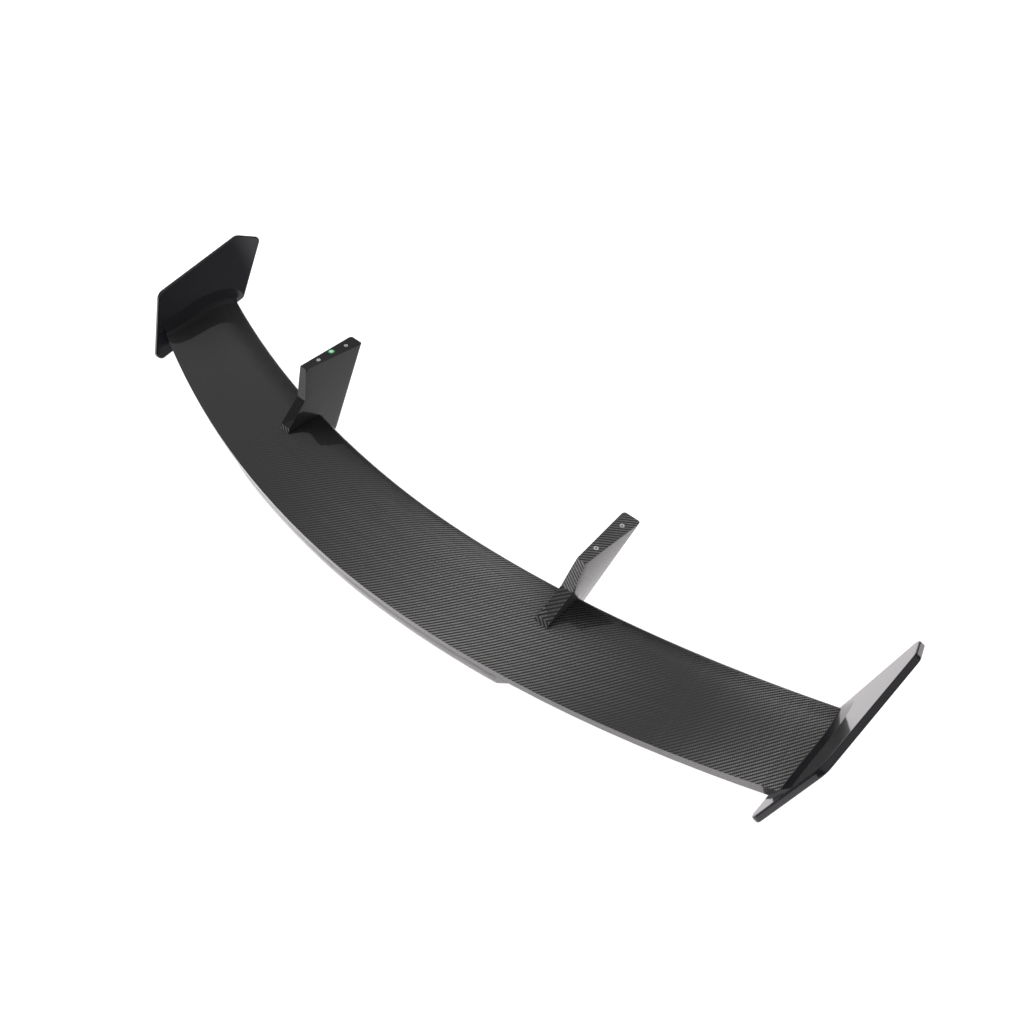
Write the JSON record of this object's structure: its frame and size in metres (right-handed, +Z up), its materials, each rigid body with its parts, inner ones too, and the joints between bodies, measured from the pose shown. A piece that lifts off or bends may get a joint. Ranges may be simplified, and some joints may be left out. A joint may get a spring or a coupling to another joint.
{
  "type": "racing rear wing",
  "caption": "Arched carbon rear wing with a cambered blade, a raised lip along the middle of its trailing edge, canted end plates and bolt-down legs.",
  "frame": {"origin": "midway between the front pair of threaded inserts, on the plane of the legs' mounting faces", "axes": "+Z up as installed, -Y towards the leading edge and the front of the car, +X to the wing's end that is on the right when the leading edge faces the viewer's back"},
  "size_m": [1.4262, 0.3855, 0.1718],
  "materials": {
    "carbon_gloss": "clear-coated twill carbon",
    "plate_gloss": "high-gloss black over faint weave",
    "carbon_raw": "uncoated laminate",
    "foam": "structural foam",
    "alloy": "machined",
    "steel": "plated",
    "sticker": "printed film"
  },
  "bodies": {
    "root": {"lower_skin": "carbon_gloss", "upper_skin": "carbon_gloss", "centre_lip": "carbon_gloss", "leg_left": "carbon_gloss", "leg_right": "carbon_gloss", "end_plate_left": "plate_gloss", "end_plate_right": "plate_gloss", "front_spar": "carbon_raw", "rear_spar": "carbon_raw", "leg_rib_left": "carbon_raw", "leg_rib_right": "carbon_raw", "nose_core": "foam", "tail_core": "foam", "box_core_centre": "foam", "box_core_left": "foam", "box_core_right": "foam", "leg_core_left": "foam", "leg_core_right": "foam", "end_rib_left": "alloy", "end_rib_right": "alloy", "leg_block_left": "alloy", "leg_block_right": "alloy", "leg_inserts_left": "steel", "leg_inserts_right": "steel", "end_plate_screws_left": "steel", "end_plate_screws_right": "steel", "inspection_dot": "sticker"}
  },
  "joints": []
}
